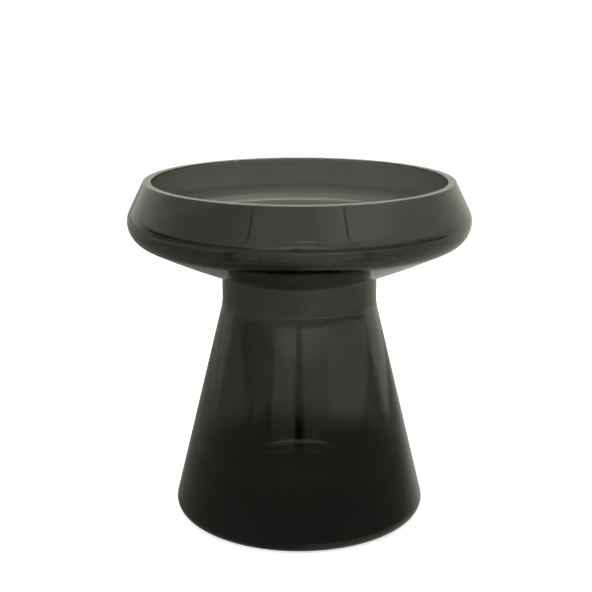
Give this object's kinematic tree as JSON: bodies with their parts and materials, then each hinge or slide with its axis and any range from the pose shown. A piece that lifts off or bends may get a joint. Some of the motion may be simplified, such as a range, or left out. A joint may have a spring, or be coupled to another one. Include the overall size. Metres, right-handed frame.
{
  "type": "glass vase",
  "caption": "Smoked glass vase with a wide shallow bowl on a waisted neck and a flared hollow body; holds water, stems and floating flowers.",
  "frame": {"origin": "centre of the ring the vase stands on, in the table plane", "axes": "+Z is the axis of revolution, from the foot up to the open rim; X and Y are level and interchangeable"},
  "size_m": [0.1992, 0.1992, 0.2],
  "materials": {
    "smoked_glass": "clear grey-green smoked glass, fire polished, with a ground and polished rim"
  },
  "bodies": {
    "root": {"bowl": "smoked_glass", "body": "smoked_glass"}
  },
  "joints": []
}
